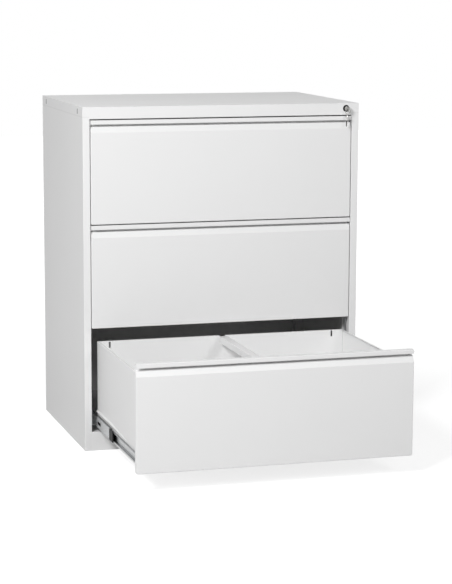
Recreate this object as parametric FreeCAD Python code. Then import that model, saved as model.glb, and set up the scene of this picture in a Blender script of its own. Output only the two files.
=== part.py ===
import FreeCAD, Part
import math
import os

os.makedirs("parts", exist_ok=True)
Vec = FreeCAD.Vector

# Three-drawer lateral filing cabinet of folded sheet steel, its bottom drawer pulled out.
# Millimetres: X to the right, Y to the back from the carcass front, Z up from the floor.

# Overall sizes
width = 900.0
depth = 620.0
height = 1080.0
drawer_count = 3
pulled_drawer = 0
travel = 569.0

# Sheet thickness and inside bend radii
sheet = 0.8
slide_sheet = 1.4
bracket_sheet = 1.5
bend = 0.7
front_bend = 1.2

# Clearances
fit = 0.3
play = 0.1
seam = 0.1
drawer_gap = 3.6
side_gap = 2.4

# Carcass
base_height = 60.0
top_rail_height = 37.2
stile_width = 22.6
stile_return = 25.0
stile_lip = 10.0
rear_flange = 15.0
foot_flange = 15.0
plinth_flange = 24.0
rail_flange = 20.0
rail_lip = 8.0
pan_flange = 24.0
back_foot = 19.0
top_side_flange = 29.7
top_rear_flange = 20.0
top_front_flange = 8.0
slit_width = 3.5
slit_height = 15.0
slit_drop = 9.0
slit_front = 75.0
slit_rear_inset = 61.0
slit_land = 8.0

# Posts that carry the slides
post_inset = 6.4
post_width = 40.0
post_front = 46.0
post_rear_inset = 100.0

# Telescopic slides: across from the post (u) and up from the slide's middle (v)
slide_rise = 36.0
slide_thick = 13.0
slide_rear_clear = 54.0
outer_start = 26.0
outer_half = 22.5
outer_reach = 9.5
outer_lip = 4.0
middle_start = 78.0
middle_rear_inset = 4.0
middle_half = 18.0
middle_back = 2.6
middle_reach = 10.5
middle_lip = 3.8
inner_start = 22.0
inner_half = 13.5
inner_back = 5.5
web_slot_length = 40.0
web_slot_height = 9.0
web_slot_place = 125.0
bumper_tail = 6.0
bumper_nose = 38.0
bumper_nose_reach = 5.0
cage_length = 180.0
cage_inset = 18.0
cage_end_inset = 7.0

# Drawers
lip_height = 13.0
hem_depth = 7.5
hem_gap = 0.2
groove_depth = 20.0
groove_height = 20.0
bevel_setback = 10.0
bevel_height = 18.5
front_side_return = 18.0
front_bottom_lip = 10.0
tray_drop = 38.5
tray_rise = 10.0
tray_rear_clear = 48.0
tray_hem = 8.0
rib_reach = 5.0
rib_half = 4.5
rib_rise = 26.5
rib_run = 191.0
rib_fade = 232.0
rib_tip_rise = 17.0
back_slot_inset = 40.0
back_slot_width = 5.5
back_slot_height = 19.0
rail_half = 13.0
rail_depth = 20.0
tongue_length = 16.0
tongue_half = 8.5
tongue_step = 2.2
tongue_run = 3.0
rail_hole = 4.0
rail_hole_side = 9.0
rail_hole_end = 11.0

# Lock, locking bar and keys
lock_inset = 19.4
lock_drop = 16.5
bezel_radius = 11.0
bezel_proud = 2.0
bezel_slope = 1.0
barrel_radius = 9.0
barrel_end = 23.7
nut_across = 25.0
nut_thick = 4.0
plug_radius = 6.0
plug_proud = 0.6
cam_thick = 2.0
cam_hub = 8.0
cam_tip = 4.5
cam_throw = 12.0
pin_radius = 2.0
pin_length = 6.0
cam_rest_angle = -45.0
bar_sheet = 1.4
bar_front = 28.0
bar_depth = 12.0
bar_side_clear = 1.0
bar_flange = 3.5
bar_head_low = 8.5
bar_head_high = 5.5
bar_slot_play = 0.6
bar_tail = 30.0
hook_reach = 10.0
hook_height = 14.0
hook_gap = 4.0
catch_rise = 190.0
catch_height = 15.0
catch_reach = 11.0
catch_leg = 16.5
catch_clear = 0.7
guide_height = 18.0
guide_wall = 1.3
guide_front = 33.0
guide_rise = 237.0
key_thick = 1.6
key_blade_half = 3.0
key_blade_end = 18.0
key_bow_radius = 9.0
key_bow_place = 16.0
key_hole_radius = 2.5
key_shoulder = 4.2
ring_radius = 8.0
ring_wire = 0.8

# Lines that the pieces share
half = width / 2
inner_side = half - sheet
opening_half = half - stile_width
butt_half = opening_half + bend + sheet + seam
under_top = height - sheet
rail_bottom = height - top_rail_height
front_half = opening_half - side_gap
gaps_total = (drawer_count + 1) * drawer_gap
front_height = (rail_bottom - base_height - gaps_total) / drawer_count
post_plane = opening_half - post_inset
tray_half = post_plane - slide_thick
pan_top = base_height - sheet
groove_back = groove_depth + sheet
liner_back = groove_back + sheet
lock_x = opening_half - lock_inset
lock_z = height - lock_drop
bar_outer = opening_half - bar_side_clear
slit_rear = depth - slit_rear_inset
post_rear = depth - post_rear_inset
slide_length = depth - slide_rear_clear - outer_start
middle_length = outer_start + slide_length - middle_rear_inset - middle_start
tray_back_place = depth - tray_rear_clear
rib_taper = tray_back_place - sheet - rib_run
rail_end = tray_back_place - tongue_length
back_slot_place = tray_half - back_slot_inset


def front_bottom(level):
    return base_height + drawer_gap + level * (front_height + drawer_gap)


def front_top(level):
    return front_bottom(level) + front_height


def slide_middle(level):
    return front_bottom(level) + slide_rise


def box(x0, x1, y0, y1, z0, z1):
    return Part.makeBox(x1 - x0, y1 - y0, z1 - z0, Vec(x0, y0, z0))


def rod(radius, x, y0, y1, z):
    return Part.makeCylinder(radius, y1 - y0, Vec(x, y0, z), Vec(0, 1, 0))


def spot(axis, a, b, c):
    if axis == "x":
        return Vec(c, a, b)
    if axis == "y":
        return Vec(a, c, b)
    return Vec(a, b, c)


def mirrored(shape):
    return shape.mirror(Vec(0, 0, 0), Vec(1, 0, 0))


def fused(shapes):
    whole = shapes[0]
    if len(shapes) > 1:
        whole = shapes[0].fuse(shapes[1:])
    return whole.removeSplitter()


# A sheet folded along a line of corner points (a, b) or (a, b, inside radius); hidden
# corners have radius 0 and stay sharp. The sheet lies to the left of the line where thick
# is positive, else to its right.
def folded(points, thick, axis, start, end, radius=bend):
    near = []
    far = []
    count = len(points)
    for k in range(count):
        corner = Vec(points[k][0], points[k][1], 0)
        if k > 0:
            into = (corner - Vec(points[k - 1][0], points[k - 1][1], 0)).normalize()
        if k < count - 1:
            out = (Vec(points[k + 1][0], points[k + 1][1], 0) - corner).normalize()
        if k == 0 or k == count - 1:
            along = out if k == 0 else into
            normal = Vec(-along.y, along.x, 0)
            near.append((corner,))
            far.append((corner + normal * thick,))
            continue
        inside = points[k][2] if len(points[k]) > 2 else radius
        normal = Vec(-into.y, into.x, 0) + Vec(-out.y, out.x, 0)
        if not inside:
            near.append((corner,))
            far.append((corner + normal * (2 * thick / normal.dot(normal)),))
            continue
        turn = into.x * out.y - into.y * out.x
        side = 1.0 if turn > 0 else -1.0
        sheet_inside = (side > 0) == (thick > 0)
        near_radius = inside + abs(thick) if sheet_inside else inside
        far_radius = inside if sheet_inside else inside + abs(thick)
        setback = near_radius * math.tan(into.getAngle(out) / 2)
        first = corner - into * setback
        last = corner + out * setback
        centre = first + Vec(-into.y, into.x, 0) * (side * near_radius)
        middle = (corner - centre).normalize()
        near.append((first, centre + middle * near_radius, last))
        far_first = first + Vec(-into.y, into.x, 0) * thick
        far_last = last + Vec(-out.y, out.x, 0) * thick
        far.append((far_first, centre + middle * far_radius, far_last))
    loop = near + [tuple(reversed(stop)) for stop in reversed(far)]
    edges = []
    for k in range(len(loop)):
        stop = [spot(axis, p.x, p.y, start) for p in loop[k]]
        if len(stop) == 3:
            edges.append(Part.Arc(stop[0], stop[1], stop[2]).toShape())
        following = loop[(k + 1) % len(loop)][0]
        target = spot(axis, following.x, following.y, start)
        if (target - stop[-1]).Length > 1e-6:
            edges.append(Part.LineSegment(stop[-1], target).toShape())
    face = Part.Face(Part.Wire(edges))
    return face.extrude(spot(axis, 0, 0, end - start))


def side_panel():
    plan = [(half - rear_flange, depth), (half, depth, 0), (half, 0), (opening_half, 0),
            (opening_half, stile_return, 0), (opening_half + stile_lip, stile_return)]
    panel = folded(plan, -sheet, "z", 0, under_top)
    lip_edge = opening_half + stile_lip + fit
    for low, high in ((0, base_height), (rail_bottom, height)):
        edge_cut = box(opening_half - fit, butt_half, -fit, stile_return + fit, low, high)
        fold_cut = box(opening_half - fit, lip_edge, sheet, stile_return + fit, low, high)
        panel = panel.cut(edge_cut).cut(fold_cut)
    foot = box(half - foot_flange, inner_side, plinth_flange, depth - back_foot - fit, 0, sheet)
    panel = fused([panel, foot])
    slit_top = height - slit_drop
    for place in (slit_front, slit_rear):
        low = place - slit_width / 2
        panel = panel.cut(box(inner_side - fit, half + fit, low, low + slit_width,
                              slit_top - slit_height, slit_top))
    return panel


def top_panel():
    plate = box(-half, half, 0, depth, under_top, height)
    low = under_top - top_side_flange
    flange_front = slit_front + slit_land
    flange_rear = slit_rear - slit_land
    right = box(inner_side - sheet, inner_side, flange_front, flange_rear, low, under_top)
    rear_edge = depth - 2 * sheet
    rear = box(-butt_half, butt_half, rear_edge - sheet, rear_edge,
               under_top - top_rear_flange, under_top)
    front_end = lock_x - nut_across
    front = box(-butt_half, front_end, sheet, 2 * sheet, under_top - top_front_flange, under_top)
    return fused([plate, right, mirrored(right), rear, front])


def top_rail():
    section = [(rail_flange, rail_bottom + rail_lip), (rail_flange, rail_bottom, 0),
               (0, rail_bottom), (0, under_top)]
    rail = folded(section, -sheet, "x", -butt_half, butt_half)
    return rail.cut(rod(barrel_radius + fit, lock_x, -fit, sheet + fit, lock_z))


def plinth():
    section = [(plinth_flange, base_height), (0, base_height), (0, 0, 0), (plinth_flange, 0)]
    return folded(section, sheet, "x", -butt_half, butt_half)


def base_pan():
    section = [(-inner_side, pan_top - pan_flange), (-inner_side, pan_top),
               (inner_side, pan_top), (inner_side, pan_top - pan_flange)]
    return folded(section, -sheet, "y", bend + 2 * sheet, depth - 2 * sheet, 0)


def back_panel():
    face = depth - sheet
    section = [(face, under_top), (face, 0), (face - back_foot + sheet, 0)]
    return folded(section, -sheet, "x", -inner_side + fit, inner_side - fit, 0)


def post(place):
    reach = inner_side - sheet
    plan = [(reach, place), (post_plane, place), (post_plane, place + post_width),
            (reach, place + post_width)]
    return folded(plan, -sheet, "z", pan_top, under_top, 0)


# Slide members of the right side: the section is given as (u, v) and turned into (X, Z).
def slide_member(section, thick, start, length, level, radius=0):
    middle = slide_middle(level)
    points = [(post_plane - c[0], middle + c[1]) + c[2:] for c in section]
    return folded(points, -thick, "y", start, start + length, radius)


def outer_slide(level):
    lip = outer_half - outer_lip
    section = [(outer_reach, lip), (outer_reach, outer_half), (0, outer_half),
               (0, -outer_half), (outer_reach, -outer_half), (outer_reach, -lip)]
    return slide_member(section, slide_sheet, outer_start, slide_length, level)


def middle_slide(level):
    lip = middle_half - middle_lip
    section = [(middle_reach, lip), (middle_reach, middle_half, 0), (middle_back, middle_half),
               (middle_back, -middle_half), (middle_reach, -middle_half, 0), (middle_reach, -lip)]
    member = slide_member(section, slide_sheet, middle_start, middle_length, level, bend)
    web = post_plane - middle_back
    slot_start = middle_start + web_slot_place
    slot_low = slide_middle(level) - web_slot_height / 2
    return member.cut(box(web - slide_sheet - fit, web + fit, slot_start,
                          slot_start + web_slot_length, slot_low, slot_low + web_slot_height))


def inner_slide(level):
    section = [(inner_back, inner_half), (slide_thick, inner_half),
               (slide_thick, -inner_half), (inner_back, -inner_half)]
    return slide_member(section, -slide_sheet, inner_start, slide_length, level, bend)


# Ball cages above and below both running faces, and the bumper on the member's front end.
def slide_plastic(level):
    middle = slide_middle(level)

    def piece(u0, u1, y0, y1, v0, v1):
        return box(post_plane - u1, post_plane - u0, y0, y1, middle + v0, middle + v1)

    pieces = []
    outer_low = middle_back + slide_sheet
    outer_high = outer_reach - slide_sheet - fit
    outer_top = outer_half - slide_sheet - fit
    outer_cage_end = middle_start + middle_length - cage_end_inset
    outer_from = outer_cage_end - cage_length
    inner_low = inner_back
    inner_high = middle_reach - slide_sheet - fit
    inner_top = middle_half - slide_sheet
    inner_from = middle_start + cage_inset
    for v0, v1 in ((middle_half, outer_top), (-outer_top, -middle_half)):
        pieces.append(piece(outer_low, outer_high, outer_from, outer_cage_end, v0, v1))
    for v0, v1 in ((inner_half + fit, inner_top), (-inner_top, -inner_half - fit)):
        pieces.append(piece(inner_low, inner_high, inner_from, inner_from + cage_length, v0, v1))
    nose = middle_start - bumper_nose
    plate = piece(middle_back - sheet, middle_back, nose, middle_start + bumper_tail,
                  -middle_half + bend, middle_half - bend)
    block = piece(middle_back - sheet, bumper_nose_reach, nose, middle_start,
                  -middle_half + bend, middle_half - bend)
    pieces.append(fused([plate, block]))
    return pieces


# One sheet from the hem behind the lip, round the finger groove and down to the bottom lip.
def front_skin(level):
    top = front_top(level)
    low = front_bottom(level)
    hem_back = 2 * sheet + hem_gap
    hem_bend = hem_gap / 2
    lip_low = top - lip_height
    ledge = top - groove_height - sheet
    bevel_low = top - groove_height - bevel_height
    section = [(hem_back, lip_low + hem_depth), (hem_back, lip_low, hem_bend),
               (0, lip_low, hem_bend), (0, top), (groove_back, top, 0), (groove_back, ledge, 0),
               (bevel_setback + sheet / 2, ledge), (sheet, bevel_low),
               (sheet, low + sheet), (groove_depth, low + sheet, 0),
               (groove_depth, low + front_bottom_lip)]
    skin = folded(section, -sheet, "x", -front_half, front_half, front_bend)
    corner = front_bend + sheet + seam
    return_top = bevel_low - sheet
    return_low = low + corner
    for side in (-1, 1):
        inner = side * (front_half - corner)
        outer = side * (front_half + fit)
        end_cut = box(min(inner, outer), max(inner, outer), -fit, groove_back + fit,
                      low - fit, return_top)
        skin = skin.cut(end_cut)
    plan = [(front_half - corner, 0), (front_half, 0), (front_half, front_side_return)]
    right = folded(plan, sheet, "z", return_low, return_top, front_bend)
    return fused([skin, right, mirrored(right)])


def front_liner(level):
    high = front_top(level) - front_bend - sheet
    section = [(groove_back, high), (groove_back, front_bottom(level) + sheet)]
    return folded(section, sheet, "x", -tray_half, tray_half)


# Outside of the rib pressed in a tray's side: level from the back, then falling to a point.
def side_rib(level):
    middle = slide_middle(level)
    rise = middle + rib_rise
    corners = [Vec(tray_half, rib_taper, rise + rib_half),
               Vec(tray_half + rib_reach, rib_taper, rise),
               Vec(tray_half, rib_taper, rise - rib_half)]
    outline = Part.makePolygon(corners + corners[:1])
    level_part = Part.Face(outline).extrude(Vec(0, rib_run, 0))
    tip = Part.Vertex(tray_half, rib_taper - rib_fade, middle + rib_tip_rise)
    return fused([level_part, Part.makeLoft([outline, tip], True, True)])


def tray(level):
    top = front_top(level) - tray_drop
    low = front_bottom(level) + tray_rise
    right = [(tray_half - tray_hem, top), (tray_half, top, bend), (tray_half, low)]
    section = right + [(-corner[0],) + corner[1:] for corner in reversed(right)]
    walls = folded(section, -sheet, "y", liner_back, tray_back_place - sheet, 0)
    outside = side_rib(level)
    inside = outside.translated(Vec(-sheet, 0, 0))
    pressed = fused([walls, outside, mirrored(outside)])
    return pressed.cut(inside).cut(mirrored(inside))


# The top hem turns to the rear, so the rounded bend faces the files.
def tray_back(level):
    top = front_top(level) - tray_drop
    low = front_bottom(level) + tray_rise
    face = tray_back_place - sheet
    section = [(face, low), (face, top), (tray_back_place + tray_hem, top)]
    wall = folded(section, -sheet, "x", -tray_half, tray_half)
    slot_top = top - 2 * sheet
    for place in (-back_slot_place, back_slot_place):
        wall = wall.cut(box(place - back_slot_width / 2, place + back_slot_width / 2,
                            face - fit, tray_back_place + fit,
                            slot_top - back_slot_height, slot_top))
    notch_half = tongue_half + fit
    notch_low = top - tongue_step - sheet
    return wall.cut(box(-notch_half, notch_half, face - fit, tray_back_place + tray_hem + fit,
                        notch_low, top + fit))


def centre_rail(level):
    top = front_top(level) - tray_drop
    section = [(-rail_half, top - rail_depth), (-rail_half, top), (rail_half, top),
               (rail_half, top - rail_depth)]
    rail = folded(section, -sheet, "y", liner_back, rail_end)
    steps = [(rail_end, top), (rail_end + tongue_run, top),
             (rail_end + 2 * tongue_run, top - tongue_step), (tray_back_place, top - tongue_step)]
    tongue = folded(steps, -sheet, "x", -tongue_half, tongue_half, 0)
    hole = Part.makeCylinder(rail_hole / 2, 2 * sheet + fit,
                             Vec(-rail_hole_side, rail_end - rail_hole_end, top - 2 * sheet),
                             Vec(0, 0, 1))
    return fused([rail, tongue]).cut(hole)


def catch_bottom(level):
    return front_bottom(level) + catch_rise - catch_height / 2


def lock_catch(level):
    front = bar_front + 2 * bar_sheet + catch_clear
    low = catch_bottom(level)
    plan = [(tray_half + catch_reach, front), (tray_half, front), (tray_half, front + catch_leg)]
    return folded(plan, -bracket_sheet, "z", low, low + catch_height, 0)


def lock_housing():
    bezel = Part.makeCone(bezel_radius, bezel_radius - bezel_slope, bezel_proud,
                          Vec(lock_x, 0, lock_z), Vec(0, -1, 0))
    barrel = rod(barrel_radius, lock_x, 0, barrel_end, lock_z)
    bore = rod(plug_radius + play, lock_x, -bezel_proud - fit, barrel_end + fit, lock_z)
    return fused([bezel, barrel]).cut(bore)


def lock_nut():
    radius = nut_across / 2 / math.cos(math.pi / 6)
    corners = []
    for k in range(7):
        angle = k * math.pi / 3
        corners.append(Vec(lock_x + radius * math.cos(angle), sheet,
                           lock_z + radius * math.sin(angle)))
    nut = Part.Face(Part.makePolygon(corners)).extrude(Vec(0, nut_thick, 0))
    return nut.cut(rod(barrel_radius + play, lock_x, 0, sheet + nut_thick + fit, lock_z))


def lock_plug():
    front = -bezel_proud - plug_proud
    plug = rod(plug_radius, lock_x, front, barrel_end + fit, lock_z)
    slot_half = key_thick / 2 + 2 * play
    slot_rise = key_blade_half + fit
    return plug.cut(box(lock_x - slot_half, lock_x + slot_half, front - fit,
                        key_blade_end + fit, lock_z - slot_rise, lock_z + slot_rise))


def pin_spot():
    angle = math.radians(cam_rest_angle)
    return lock_x + cam_throw * math.cos(angle), lock_z + cam_throw * math.sin(angle)


# A plate round two circles of different size, joined by the straight lines that touch both.
def teardrop(x0, z0, r0, x1, z1, r1, y0, y1):
    along = Vec(x1 - x0, 0, z1 - z0)
    lean = math.acos((r0 - r1) / along.Length)
    heading = math.atan2(along.z, along.x)

    def rim(x, z, radius, angle):
        return Vec(x + radius * math.cos(angle), y0, z + radius * math.sin(angle))

    upper = heading + lean
    lower = heading - lean
    a = rim(x0, z0, r0, upper)
    b = rim(x1, z1, r1, upper)
    c = rim(x1, z1, r1, lower)
    d = rim(x0, z0, r0, lower)
    edges = [Part.LineSegment(a, b).toShape(),
             Part.Arc(b, rim(x1, z1, r1, heading), c).toShape(),
             Part.LineSegment(c, d).toShape(),
             Part.Arc(d, rim(x0, z0, r0, heading + math.pi), a).toShape()]
    return Part.Face(Part.Wire(edges)).extrude(Vec(0, y1 - y0, 0))


def lock_cam():
    x, z = pin_spot()
    front = barrel_end + fit
    plate = teardrop(lock_x, lock_z, cam_hub, x, z, cam_tip, front, front + cam_thick)
    pin = rod(pin_radius, x, front + cam_thick, front + cam_thick + pin_length, z)
    return fused([plate, pin])


def lock_bar():
    head_top = pin_spot()[1] + bar_head_high
    tail = catch_bottom(0) - hook_gap - hook_height - bar_tail
    plan = [(bar_outer - bar_flange, bar_front), (bar_outer, bar_front),
            (bar_outer, bar_front + bar_depth)]
    return folded(plan, bar_sheet, "z", tail, head_top, 0)


# Tabs on the back of the bar: a hook under each drawer's catch and a slotted head for the pin.
def lock_bar_tabs():
    pin_x, pin_z = pin_spot()
    front = bar_front + bar_sheet
    rear = front + bar_sheet
    outer = bar_outer - bar_sheet - fit
    tabs = []
    for level in range(drawer_count):
        hook_top = catch_bottom(level) - hook_gap
        tabs.append(box(bar_outer - bar_flange - hook_reach, outer, front, rear,
                        hook_top - hook_height, hook_top))
    slot_inner = pin_x - pin_radius - bar_slot_play
    slot_outer = lock_x + cam_throw + pin_radius + bar_slot_play
    slot_half = pin_radius + bar_slot_play
    head = box(slot_inner - 2 * bar_sheet, outer, front, rear,
               pin_z - bar_head_low, pin_z + bar_head_high)
    tabs.append(head.cut(box(slot_inner, slot_outer, front - fit, rear + fit,
                             pin_z - slot_half, pin_z + slot_half)))
    return tabs


def lock_bar_guides():
    guides = []
    leg_in = bar_outer - bar_sheet - fit
    leg_out = bar_outer + fit
    for level in range(drawer_count):
        place = front_bottom(level) + guide_rise
        block = box(leg_in - guide_wall, leg_out + guide_wall, guide_front, post_front,
                    place, place + guide_height)
        slot = box(leg_in, leg_out, guide_front - fit, bar_front + bar_depth + fit,
                   place - fit, place + guide_height + fit)
        guides.append(block.cut(slot))
    return guides


# A flat key in the YZ plane: a round bow with an eye for the ring, a shoulder and a blade.
def key():
    side = lock_x - key_thick / 2
    bow_y = -key_bow_place
    eye = Vec(side - fit, bow_y, lock_z)
    bow = Part.makeCylinder(key_bow_radius, key_thick, Vec(side, bow_y, lock_z), Vec(1, 0, 0))
    step = bow_y + key_bow_radius + key_shoulder
    outline = [(bow_y, key_shoulder), (step, key_shoulder), (step, key_blade_half),
               (key_blade_end - key_blade_half, key_blade_half), (key_blade_end, 0)]
    outline = outline + [(y, -z) for y, z in reversed(outline[:-1])] + outline[:1]
    corners = [Vec(side, y, lock_z + z) for y, z in outline]
    blade = Part.Face(Part.makePolygon(corners)).extrude(Vec(key_thick, 0, 0))
    hole = Part.makeCylinder(key_hole_radius, key_thick + 2 * fit, eye, Vec(1, 0, 0))
    return fused([bow, blade]).cut(hole)


# A flat ring hanging in the key's eye.
def key_ring():
    middle = lock_z - key_hole_radius + ring_wire + fit - ring_radius
    front = -key_bow_place - ring_wire
    rear = -key_bow_place + ring_wire
    band = rod(ring_radius + ring_wire, lock_x, front, rear, middle)
    return band.cut(rod(ring_radius - ring_wire, lock_x, front - fit, rear + fit, middle))


def moved(shapes, distance):
    pulled = []
    for shape in shapes:
        copy = shape.copy()
        copy.translate(Vec(0, -distance, 0))
        pulled.append(copy)
    return pulled


def save(node, shapes):
    shape = shapes[0] if len(shapes) == 1 else Part.makeCompound(shapes)
    shape.exportStep("parts/" + node + ".step")


def save_pair(node, shape, suffix=""):
    save(node + "_left" + suffix, [mirrored(shape)])
    save(node + "_right" + suffix, [shape])


def save_carcass():
    save_pair("side_panel", side_panel())
    save("top_panel", [top_panel()])
    save("top_rail", [top_rail()])
    save("plinth", [plinth()])
    save("base_pan", [base_pan()])
    save("back_panel", [back_panel()])
    save_pair("post_front", post(post_front))
    save_pair("post_rear", post(post_rear))


def save_drawer(level):
    out = travel if level == pulled_drawer else 0.0
    suffix = "_" + str(level + 1)
    save_pair("outer_slide", outer_slide(level), suffix)
    save_pair("middle_slide", moved([middle_slide(level)], out / 2)[0], suffix)
    plastic = slide_plastic(level)
    save("slide_plastic" + suffix, moved(plastic + [mirrored(p) for p in plastic], out / 2))
    save_pair("inner_slide", moved([inner_slide(level)], out)[0], suffix)
    save("front_skin" + suffix, moved([front_skin(level)], out))
    save("front_liner" + suffix, moved([front_liner(level)], out))
    save("tray" + suffix, moved([tray(level)], out))
    save("tray_back" + suffix, moved([tray_back(level)], out))
    save("centre_rail" + suffix, moved([centre_rail(level)], out))
    save("lock_catch" + suffix, moved([lock_catch(level)], out))


def save_lock():
    save("lock_housing", [lock_housing()])
    save("lock_nut", [lock_nut()])
    save("lock_plug", [lock_plug()])
    save("lock_cam", [lock_cam()])
    save("lock_bar", [lock_bar()])
    save("lock_bar_tabs", lock_bar_tabs())
    save("lock_bar_guides", lock_bar_guides())
    save("key", [key()])
    save("key_ring", [key_ring()])


save_carcass()
for drawer in range(drawer_count):
    save_drawer(drawer)
save_lock()
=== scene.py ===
import math
import bpy
import numpy as np
from mathutils import Matrix, Vector


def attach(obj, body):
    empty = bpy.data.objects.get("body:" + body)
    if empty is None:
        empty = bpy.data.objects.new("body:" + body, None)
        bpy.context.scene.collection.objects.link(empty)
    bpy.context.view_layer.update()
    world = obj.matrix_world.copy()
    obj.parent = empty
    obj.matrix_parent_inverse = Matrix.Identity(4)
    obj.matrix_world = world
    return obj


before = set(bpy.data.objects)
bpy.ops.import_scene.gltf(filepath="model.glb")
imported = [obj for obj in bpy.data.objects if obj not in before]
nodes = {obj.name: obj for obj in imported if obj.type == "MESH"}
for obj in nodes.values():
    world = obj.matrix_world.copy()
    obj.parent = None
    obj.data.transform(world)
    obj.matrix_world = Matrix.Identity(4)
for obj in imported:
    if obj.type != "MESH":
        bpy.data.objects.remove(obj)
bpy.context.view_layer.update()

# Carcass: side panels, top, rail, plinth, pan, back and posts, folded from 0.8 mm steel
# sheet and spot-welded, then sprayed white and baked. The whites differ a little by part as
# painted light and shade: the sides are darker than the front, the posts and the rail's inner
# faces darker still, and the top, plinth, pan and back a touch whiter.


def linear(code):
    """sRGB hex to linear RGBA: ((c + 0.055) / 1.055) ** 2.4 above the toe, c / 12.92 in it."""
    c = np.array([int(code[k:k + 2], 16) for k in (0, 2, 4)]) / 255.0
    c = np.where(c > 0.04045, ((c + 0.055) / 1.055) ** 2.4, c / 12.92)
    return (float(c[0]), float(c[1]), float(c[2]), 1.0)


def add(tree, kind, inputs=None, **settings):
    """Adds one node, sets its properties, and sets or links its inputs by name or number. A Mix
    node of colours takes its share at input 0 and its colours at 6 and 7, and gives output 2."""
    made = tree.nodes.new(kind)
    for name, value in settings.items():
        setattr(made, name, value)
    for name, value in (inputs or {}).items():
        if isinstance(value, bpy.types.NodeSocket):
            tree.links.new(value, made.inputs[name])
        else:
            made.inputs[name].default_value = value
    return made


def distance(tree, value, middle):
    """The distance |value - middle| as a socket."""
    apart = add(tree, "ShaderNodeMath", {0: value, 1: middle}, operation="SUBTRACT")
    return add(tree, "ShaderNodeMath", {0: apart.outputs[0]}, operation="ABSOLUTE").outputs[0]


def blank(name):
    """An empty node material and its tree."""
    made = bpy.data.materials.new(name)
    made.use_nodes = True
    made.node_tree.nodes.clear()
    return made, made.node_tree


def dress(material, *names):
    """Puts one material on all slots of the CAD nodes named."""
    for name in names:
        mesh = nodes[name].data
        mesh.materials.clear()
        mesh.materials.append(material)


# Polyester powder coat, sprayed and baked on steel: a satin white with a fine pebbled skin
# that softens highlights. The real grain is about 0.4 mm; it is drawn at 1.5 mm to show.
def powder_coat(name, white, cloud, line=None, depth_shade=None, cut=None):
    """line is (axis, place, half width, strength) of a faint grey line, told from the middle
    plane on X; depth_shade is (shade, start, end): painted shade multiplied in past that depth
    in Y; cut is (tone, middle Y, half spacing, half width, middle Z, half height) of painted
    shade on the rims of two slits."""
    grain_mm, patch_mm = 1.5, 220.0
    line_grey = "8a8a8a"
    rim_blur = 0.0004
    made, tree = blank(name)
    place = add(tree, "ShaderNodeTexCoord").outputs["Object"]
    axis = add(tree, "ShaderNodeSeparateXYZ", {"Vector": place}).outputs
    grain = add(tree, "ShaderNodeTexNoise",
                {"Vector": place, "Scale": 1000.0 / grain_mm, "Detail": 3.0, "Roughness": 0.55})
    patches = add(tree, "ShaderNodeTexNoise",
                  {"Vector": place, "Scale": 1000.0 / patch_mm, "Detail": 2.0})
    tone = add(tree, "ShaderNodeMix",
               {0: patches.outputs["Fac"], 6: linear(white), 7: linear(cloud)}, data_type="RGBA")
    if line is not None:
        across, middle, half_width, strength = line
        apart = distance(tree, distance(tree, axis[across], 0.0), middle)
        mark = add(tree, "ShaderNodeMapRange", {"Value": apart, "From Max": half_width,
                                                "To Min": strength, "To Max": 0.0})
        tone = add(tree, "ShaderNodeMix",
                   {0: mark.outputs[0], 6: tone.outputs[2], 7: linear(line_grey)}, data_type="RGBA")
    # Painted shade: past a depth in Y the colour is multiplied darker, in place of the shade inside.
    if depth_shade is not None:
        shade, start, end = depth_shade
        shaded_depth = add(tree, "ShaderNodeMapRange", {"Value": axis["Y"], "From Min": start, "From Max": end})
        tone = add(tree, "ShaderNodeMix",
                   {0: shaded_depth.outputs[0], 6: tone.outputs[2], 7: linear(shade)},
                   data_type="RGBA", blend_type="MULTIPLY")
    # Painted shade: dark rims round the slits stand in for the shade inside them.
    if cut is not None:
        dark, middle_y, half_spacing, half_width, middle_z, half_height = cut
        beside = distance(tree, distance(tree, axis["Y"], middle_y), half_spacing)
        beside = add(tree, "ShaderNodeMapRange", {"Value": beside, "From Min": half_width,
                                                  "From Max": half_width - rim_blur})
        above = distance(tree, axis["Z"], middle_z)
        above = add(tree, "ShaderNodeMapRange", {"Value": above, "From Min": half_height,
                                                 "From Max": half_height - rim_blur})
        slit_rim_shade = add(tree, "ShaderNodeMath", {0: beside.outputs[0], 1: above.outputs[0]},
                   operation="MULTIPLY")
        tone = add(tree, "ShaderNodeMix",
                   {0: slit_rim_shade.outputs[0], 6: tone.outputs[2], 7: linear(dark)}, data_type="RGBA")
    rough = add(tree, "ShaderNodeMapRange",
                {"Value": grain.outputs["Fac"], "To Min": 0.36, "To Max": 0.5})
    bump = add(tree, "ShaderNodeBump",
               {"Height": grain.outputs["Fac"], "Strength": 0.06, "Distance": 0.0004})
    coat = add(tree, "ShaderNodeBsdfPrincipled",
               {"Base Color": tone.outputs[2], "Roughness": rough.outputs[0],
                "Normal": bump.outputs[0], "IOR": 1.5})
    add(tree, "ShaderNodeOutputMaterial", {"Surface": coat.outputs[0]})
    return made


top_seam_z, top_seam_half, top_seam_strength = 1.0495, 0.003, 0.12
shade_start_y, shade_end_y = 0.0014, 0.003
slit_middle_y, slit_half_spacing, slit_half_width = 0.317, 0.242, 0.0036
slit_middle_z, slit_half_height = 1.0635, 0.0081
# On the sides the coat is multiplied darker behind the front face and is dark round the two slits:
# painted shade. The faint grey line is a seam.
side_coat = powder_coat("powder_coat_sprayed_on_side", "f3f3f3", "f1f1f1",
                        line=("Z", top_seam_z, top_seam_half, top_seam_strength),
                        depth_shade=("f1f1f1", shade_start_y, shade_end_y),
                        cut=("101010", slit_middle_y, slit_half_spacing, slit_half_width,
                             slit_middle_z, slit_half_height))
# The case's slightly whiter coat is painted light on the top, plinth, pan and back.
case_coat = powder_coat("powder_coat_sprayed_on_case", "f6f6f6", "f4f4f4")
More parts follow.
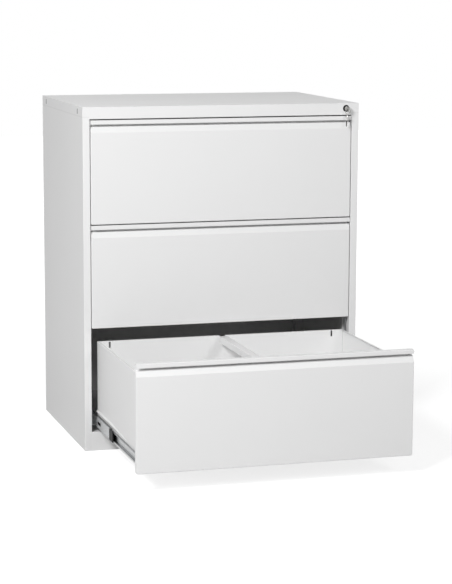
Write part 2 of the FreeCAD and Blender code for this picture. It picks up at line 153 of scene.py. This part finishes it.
# The rail's inner faces go near black: painted shade in the gap above the top drawer.
rail_coat = powder_coat("powder_coat_sprayed_on_rail", "f3f3f3", "f1f1f1",
                        depth_shade=("3a3a3a", shade_start_y, shade_end_y))
# The posts' darker grey is painted shade inside the case.
post_coat = powder_coat("powder_coat_painted_shade_on_posts", "dcdcdc", "d6d6d6")
dress(side_coat, "side_panel_left", "side_panel_right")
dress(case_coat, "top_panel", "plinth", "base_pan", "back_panel")
dress(rail_coat, "top_rail")
for side in ("left", "right"):
    dress(post_coat, "post_front_" + side, "post_rear_" + side)

# Slides: outer, middle and inner members, roll-formed from zinc-plated strip and run on
# balls. The black mouldings are their ball cages and the bumper on the middle member's end.


# Bright plate on metal, rolled or rubbed: faint streaks along its length break up a soft
# sheen. Zinc gives a cool grey, and nickel a warmer and brighter one.
def bright_plate(name, light, streak, rough):
    streak_width_mm, streak_length_mm = 2.0, 60.0
    rough_spread = 0.08
    made, tree = blank(name)
    place = add(tree, "ShaderNodeTexCoord").outputs["Object"]
    across, along = 1000.0 / streak_width_mm, 1000.0 / streak_length_mm
    drawn = add(tree, "ShaderNodeMapping", {"Vector": place, "Scale": (across, along, across)})
    streaks = add(tree, "ShaderNodeTexNoise",
                  {"Vector": drawn.outputs[0], "Scale": 1.0, "Detail": 4.0})
    tone = add(tree, "ShaderNodeMix",
               {0: streaks.outputs["Fac"], 6: linear(light), 7: linear(streak)}, data_type="RGBA")
    worn = add(tree, "ShaderNodeMapRange",
               {"Value": streaks.outputs["Fac"], "To Min": rough - rough_spread,
                "To Max": rough + rough_spread})
    plate = add(tree, "ShaderNodeBsdfPrincipled",
                {"Base Color": tone.outputs[2], "Metallic": 1.0, "Roughness": worn.outputs[0]})
    add(tree, "ShaderNodeOutputMaterial", {"Surface": plate.outputs[0]})
    return made


# Acetal, injection moulded, or a black coat on a casting: deep black with a soft matt sheen
# and a slight grain, which is drawn at 1.2 mm to show.
def matt_black(name, black, rub):
    grain_mm = 1.2
    made, tree = blank(name)
    place = add(tree, "ShaderNodeTexCoord").outputs["Object"]
    grain = add(tree, "ShaderNodeTexNoise",
                {"Vector": place, "Scale": 1000.0 / grain_mm, "Detail": 2.0})
    tone = add(tree, "ShaderNodeMix",
               {0: grain.outputs["Fac"], 6: linear(black), 7: linear(rub)}, data_type="RGBA")
    bump = add(tree, "ShaderNodeBump",
               {"Height": grain.outputs["Fac"], "Strength": 0.1, "Distance": 0.0002})
    skin = add(tree, "ShaderNodeBsdfPrincipled",
               {"Base Color": tone.outputs[2], "Roughness": 0.6, "Specular IOR Level": 0.2,
                "Normal": bump.outputs[0]})
    add(tree, "ShaderNodeOutputMaterial", {"Surface": skin.outputs[0]})
    return made


slide_zinc = bright_plate("zinc_plate_rolled_on_slide", "acaeaf", "929496", 0.26)
slide_black = matt_black("acetal_moulded_on_slide", "131313", "1d1d1d")
levels = (1, 2, 3)
for level in levels:
    for side in ("left", "right"):
        for member in ("outer", "middle", "inner"):
            dress(slide_zinc, "%s_slide_%s_%d" % (member, side, level))
    dress(slide_black, "slide_plastic_%d" % level)

# Drawers: a front folded round a finger groove, a liner behind it, a tray with rolled top
# edges, a back wall and a centre rail for files, all of sheet steel under the same white coat,
# drawn in slightly different whites as painted light and shade.
corner_seam_x, corner_seam_half, corner_seam_strength = 0.4068, 0.0022, 0.45
front_coat = powder_coat("powder_coat_sprayed_on_front", "f2f2f2", "f0f0f0")
tray_coat = powder_coat("powder_coat_sprayed_on_tray", "eeeeee", "ebebeb")
seam_coat = powder_coat("powder_coat_sprayed_on_tray_back", "f4f4f4", "f2f2f2",
                        line=("X", corner_seam_x, corner_seam_half, corner_seam_strength))
for level in levels:
    dress(front_coat, "front_skin_%d" % level)
    dress(tray_coat, "front_liner_%d" % level, "tray_%d" % level, "centre_rail_%d" % level)
    dress(seam_coat, "tray_back_%d" % level)
    dress(slide_zinc, "lock_catch_%d" % level)

# Lock: a black housing held by a nut, a nickel-plated plug that turns a cam, and a bar with
# tabs that the cam's pin lifts in front of the drawers' catches. The key and its ring are
# nickel plated too, and drawn in a darker and rougher grey than the plug.
lock_zinc = bright_plate("zinc_plate_barrelled_on_lock", "c4c5c6", "abadaf", 0.34)
lock_nickel = bright_plate("nickel_plate_polished_on_plug", "f0efed", "e4e3e1", 0.2)
key_nickel = bright_plate("nickel_plate_darker_on_key", "b2b1ae", "969592", 0.28)
lock_black = matt_black("black_coat_on_die_casting", "080808", "101010")
dress(lock_black, "lock_housing")
dress(lock_nickel, "lock_plug")
dress(key_nickel, "key", "key_ring")
dress(lock_zinc, "lock_nut", "lock_cam", "lock_bar", "lock_bar_tabs")
dress(slide_black, "lock_bar_guides")

# Spare key: hangs from the ring by its eye, blade down, stamped from brass strip and nickel
# plated. It is a loose piece, so it is only drawn here and swings with the ring.


def spare_key(eye, bow, bow_radius, eye_radius, blade_half, tip, thick):
    """S(i, v): the eye's rim at v = 0, 5, a middle line at v = 1, 4 and the outline at v = 2, 3.
    The outline is the bow's circle bow + R (cos a, sin a), closed by a notched blade. The middle
    line is halfway to the rim on the bow, and close to the blade's own middle on the blade."""
    bow_points, blade_points = 40, 12
    notch_depth, spine_share = 0.45, 0.2
    part = math.asin(blade_half / bow_radius)
    turn = np.linspace(part - math.pi / 2, 1.5 * math.pi - part, bow_points)
    round_edge = np.stack([bow[1] + bow_radius * np.cos(turn), bow[2] + bow_radius * np.sin(turn)], 1)
    root = bow[2] - bow_radius * math.cos(part)
    steps = np.linspace(root, tip + 2 * blade_half, blade_points)[1:-1]
    cuts = blade_half * (1.0 - notch_depth * (np.arange(len(steps)) % 2))
    left = np.stack([np.full(len(steps), bow[1] - blade_half), steps], 1)
    right = np.stack([bow[1] + cuts, steps], 1)[::-1]
    point = np.array([[bow[1] - blade_half, tip + blade_half], [bow[1], tip],
                      [bow[1] + blade_half, tip + blade_half]])
    blade = np.concatenate([left, point, right])
    side_of_blade = np.sign(blade[:, 0] - bow[1])
    spine = np.stack([bow[1] + spine_share * blade_half * side_of_blade, blade[:, 1]], 1)
    spine[len(left) + 1, 1] += blade_half / 2
    away = np.concatenate([round_edge, spine]) - np.array(eye[1:])
    hole = np.array(eye[1:]) + eye_radius * away / np.linalg.norm(away, axis=1)[:, None]
    edge = np.concatenate([round_edge, blade])
    middle = np.concatenate([(hole[:bow_points] + round_edge) / 2, spine])
    lines = ((-1, hole), (-1, middle), (-1, edge), (1, edge), (1, middle), (1, hole))
    rings = [np.column_stack([np.full(len(edge), eye[0] + face * thick / 2), line])
             for face, line in lines]
    points = np.stack(rings, 1).reshape(-1, 3)
    i, v = np.meshgrid(np.arange(len(edge)), np.arange(len(rings)), indexing="ij")
    after, over = (i + 1) % len(edge), (v + 1) % len(rings)
    corners = [(i, v), (after, v), (after, over), (i, over)]
    quads = np.stack([len(rings) * a + b for a, b in corners], -1).reshape(-1, 4)
    return points, quads


# Nickel plate on stamped brass, bright on the bow and near black on the blade below a given height.
def nickel_dark_below(name, light, dark, start, end):
    grain_mm = 1.5
    made, tree = blank(name)
    place = add(tree, "ShaderNodeTexCoord").outputs["Object"]
    axis = add(tree, "ShaderNodeSeparateXYZ", {"Vector": place}).outputs
    dark_below = add(tree, "ShaderNodeMapRange", {"Value": axis["Z"], "From Min": start, "From Max": end})
    grain = add(tree, "ShaderNodeTexNoise",
                {"Vector": place, "Scale": 1000.0 / grain_mm, "Detail": 2.0})
    rough = add(tree, "ShaderNodeMapRange",
                {"Value": grain.outputs["Fac"], "To Min": 0.2, "To Max": 0.36})
    tone = add(tree, "ShaderNodeMix",
               {0: dark_below.outputs[0], 6: linear(light), 7: linear(dark)}, data_type="RGBA")
    plate = add(tree, "ShaderNodeBsdfPrincipled",
                {"Base Color": tone.outputs[2], "Metallic": 1.0, "Roughness": rough.outputs[0]})
    add(tree, "ShaderNodeOutputMaterial", {"Surface": plate.outputs[0]})
    return made


key_x, key_y = 0.4035, -0.016
eye_z, bow_z, tip_z = 1.0453, 1.0393, 1.0070
dark_start_z, dark_end_z = 1.027, 1.023
points, quads = spare_key((key_x, key_y, eye_z), (key_x, key_y, bow_z), bow_radius=0.009,
                          eye_radius=0.0025, blade_half=0.003, tip=tip_z, thick=0.0016)
mesh = bpy.data.meshes.new("spare_key")
mesh.from_pydata(points.tolist(), [], quads.tolist())
mesh.materials.append(nickel_dark_below("nickel_plate_dark_blade_on_spare_key", "dddcda", "161615",
                                  dark_start_z, dark_end_z))
hanging = bpy.data.objects.new("spare_key", mesh)
bpy.context.scene.collection.objects.link(hanging)
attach(hanging, "key_ring")

# Floor: a wide sheet of matt paper just under the cabinet. It takes the shadow, and to the
# eye and in reflections it fades to the white of the backdrop away from the cabinet.
floor_reach, floor_drop = 12.0, 0.0004
fade_start, fade_end = 1.0, 2.2
near_glow, far_glow = 0.76, 1.0
floor_mesh = bpy.data.meshes.new("floor")
floor_mesh.from_pydata([(x * floor_reach, y * floor_reach, -floor_drop)
                        for x, y in ((-1, -1), (1, -1), (1, 1), (-1, 1))], [], [(0, 1, 2, 3)])
floor = bpy.data.objects.new("floor", floor_mesh)
bpy.context.scene.collection.objects.link(floor)
paper, tree = blank("floor_paper")
path = add(tree, "ShaderNodeLightPath").outputs
seen = add(tree, "ShaderNodeMath", {0: path["Is Camera Ray"], 1: path["Is Glossy Ray"]},
           operation="MAXIMUM")
place = add(tree, "ShaderNodeTexCoord").outputs["Object"]
away = add(tree, "ShaderNodeVectorMath", {0: place}, operation="LENGTH")
pale = add(tree, "ShaderNodeMapRange",
           {"Value": away.outputs["Value"], "From Min": fade_start, "From Max": fade_end,
            "To Min": near_glow, "To Max": far_glow})
lift = add(tree, "ShaderNodeMath", {0: seen.outputs[0], 1: pale.outputs[0]}, operation="MULTIPLY")
matt = add(tree, "ShaderNodeBsdfDiffuse", {"Color": linear("c8c8c8")})
glow = add(tree, "ShaderNodeEmission", {"Strength": lift.outputs[0]})
both = add(tree, "ShaderNodeAddShader", {0: matt.outputs[0], 1: glow.outputs[0]})
add(tree, "ShaderNodeOutputMaterial", {"Surface": both.outputs[0]})
floor_mesh.materials.append(paper)

# Light: a soft sky that is dim as a light but white to the eye, a large softbox at the front
# left, and a small low one at the front right that fills the shade.
sky_light, sky_seen = 0.22, 1.0
world = bpy.data.worlds.new("soft_sky")
bpy.context.scene.world = world
world.use_nodes = True
tree = world.node_tree
tree.nodes.clear()
path = add(tree, "ShaderNodeLightPath").outputs
seen = add(tree, "ShaderNodeMath", {0: path["Is Camera Ray"], 1: path["Is Glossy Ray"]},
           operation="MAXIMUM")
seen = add(tree, "ShaderNodeMath", {0: seen.outputs[0], 1: path["Is Transmission Ray"]},
           operation="MAXIMUM")
strength = add(tree, "ShaderNodeMapRange",
               {"Value": seen.outputs[0], "To Min": sky_light, "To Max": sky_seen})
sky = add(tree, "ShaderNodeBackground",
          {"Color": linear("ffffff"), "Strength": strength.outputs[0]})
add(tree, "ShaderNodeOutputWorld", {"Surface": sky.outputs[0]})

aim = Vector((0.0, 0.0, 0.55))
for name, stand, width, watts in (("left_softbox", Vector((-2.8, -3.05, 3.1)), 1.1, 155.0),
                                  ("right_softbox", Vector((1.2, -3.6, 2.2)), 0.7, 23.0)):
    lamp = bpy.data.lights.new(name, "AREA")
    lamp.shape = "RECTANGLE"
    lamp.size = width
    lamp.size_y = width
    lamp.energy = watts
    softbox = bpy.data.objects.new(name, lamp)
    softbox.location = stand
    softbox.rotation_euler = (aim - stand).to_track_quat("-Z", "Y").to_euler()
    bpy.context.scene.collection.objects.link(softbox)

# Camera: fitted to the corners of the cabinet in an upright frame of 452 by 584 pixels. Angles
# are in radians: yaw to the right of +Y, pitch up, and roll about the line of sight.
yaw, pitch, roll = 0.2897, -0.16028, 0.0036
camera_place = (-1.7432, -5.8836, 1.4807)
focal_pixels, frame_pixels, sensor_mm = 1959.38, 584.0, 36.0
ahead = np.array([math.sin(yaw) * math.cos(pitch), math.cos(yaw) * math.cos(pitch), math.sin(pitch)])
right = np.array([math.cos(yaw), -math.sin(yaw), 0.0])
up = np.cross(right, ahead)
right, up = (math.cos(roll) * right + math.sin(roll) * up, -math.sin(roll) * right + math.cos(roll) * up)
lens = bpy.data.cameras.new("camera")
lens.sensor_width = sensor_mm
lens.lens = focal_pixels * sensor_mm / frame_pixels
camera = bpy.data.objects.new("camera", lens)
camera.matrix_world = Matrix([[right[k], up[k], -ahead[k], camera_place[k]] for k in range(3)]
                             + [[0, 0, 0, 1]])
bpy.context.scene.collection.objects.link(camera)
bpy.context.scene.camera = camera
bpy.context.scene.view_settings.view_transform = "Standard"
